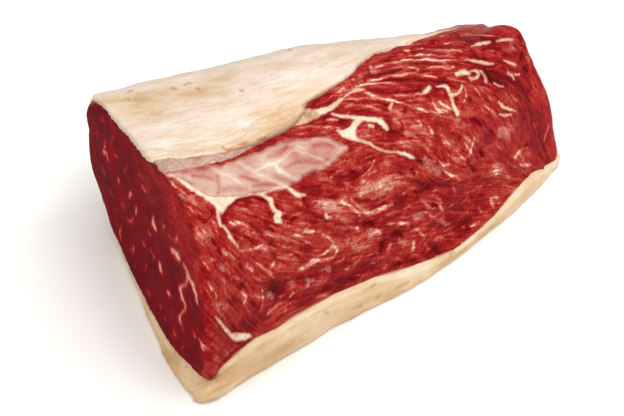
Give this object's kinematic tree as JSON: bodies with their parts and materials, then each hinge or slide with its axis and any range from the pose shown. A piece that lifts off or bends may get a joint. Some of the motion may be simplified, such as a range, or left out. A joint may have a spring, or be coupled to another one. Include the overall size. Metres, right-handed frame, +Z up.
{
  "type": "raw picanha beef joint",
  "caption": "Raw beef joint: a tapering block of marbled red lean on a thick cream fat cap, with a thinner sheet of fat over its crown and back and a flat dark red cut end.",
  "frame": {"origin": "centre of the bounding box's underside, on the surface that the joint lies on", "axes": "+X along the joint from the large flat cut end to the tapered end, +Y from the exposed lean face to the fat-covered back, +Z up"},
  "size_m": [0.2318, 0.1448, 0.0939],
  "materials": {
    "lean": "moist raw muscle, red with cream marbling",
    "fat_cap": "smooth cut fat, beige and slightly waxy",
    "top_fat": "pale cream fat with faint tan patches, slightly waxy"
  },
  "bodies": {
    "root": {"lean": "lean", "fat_cap": "fat_cap", "top_fat": "top_fat"}
  },
  "joints": []
}
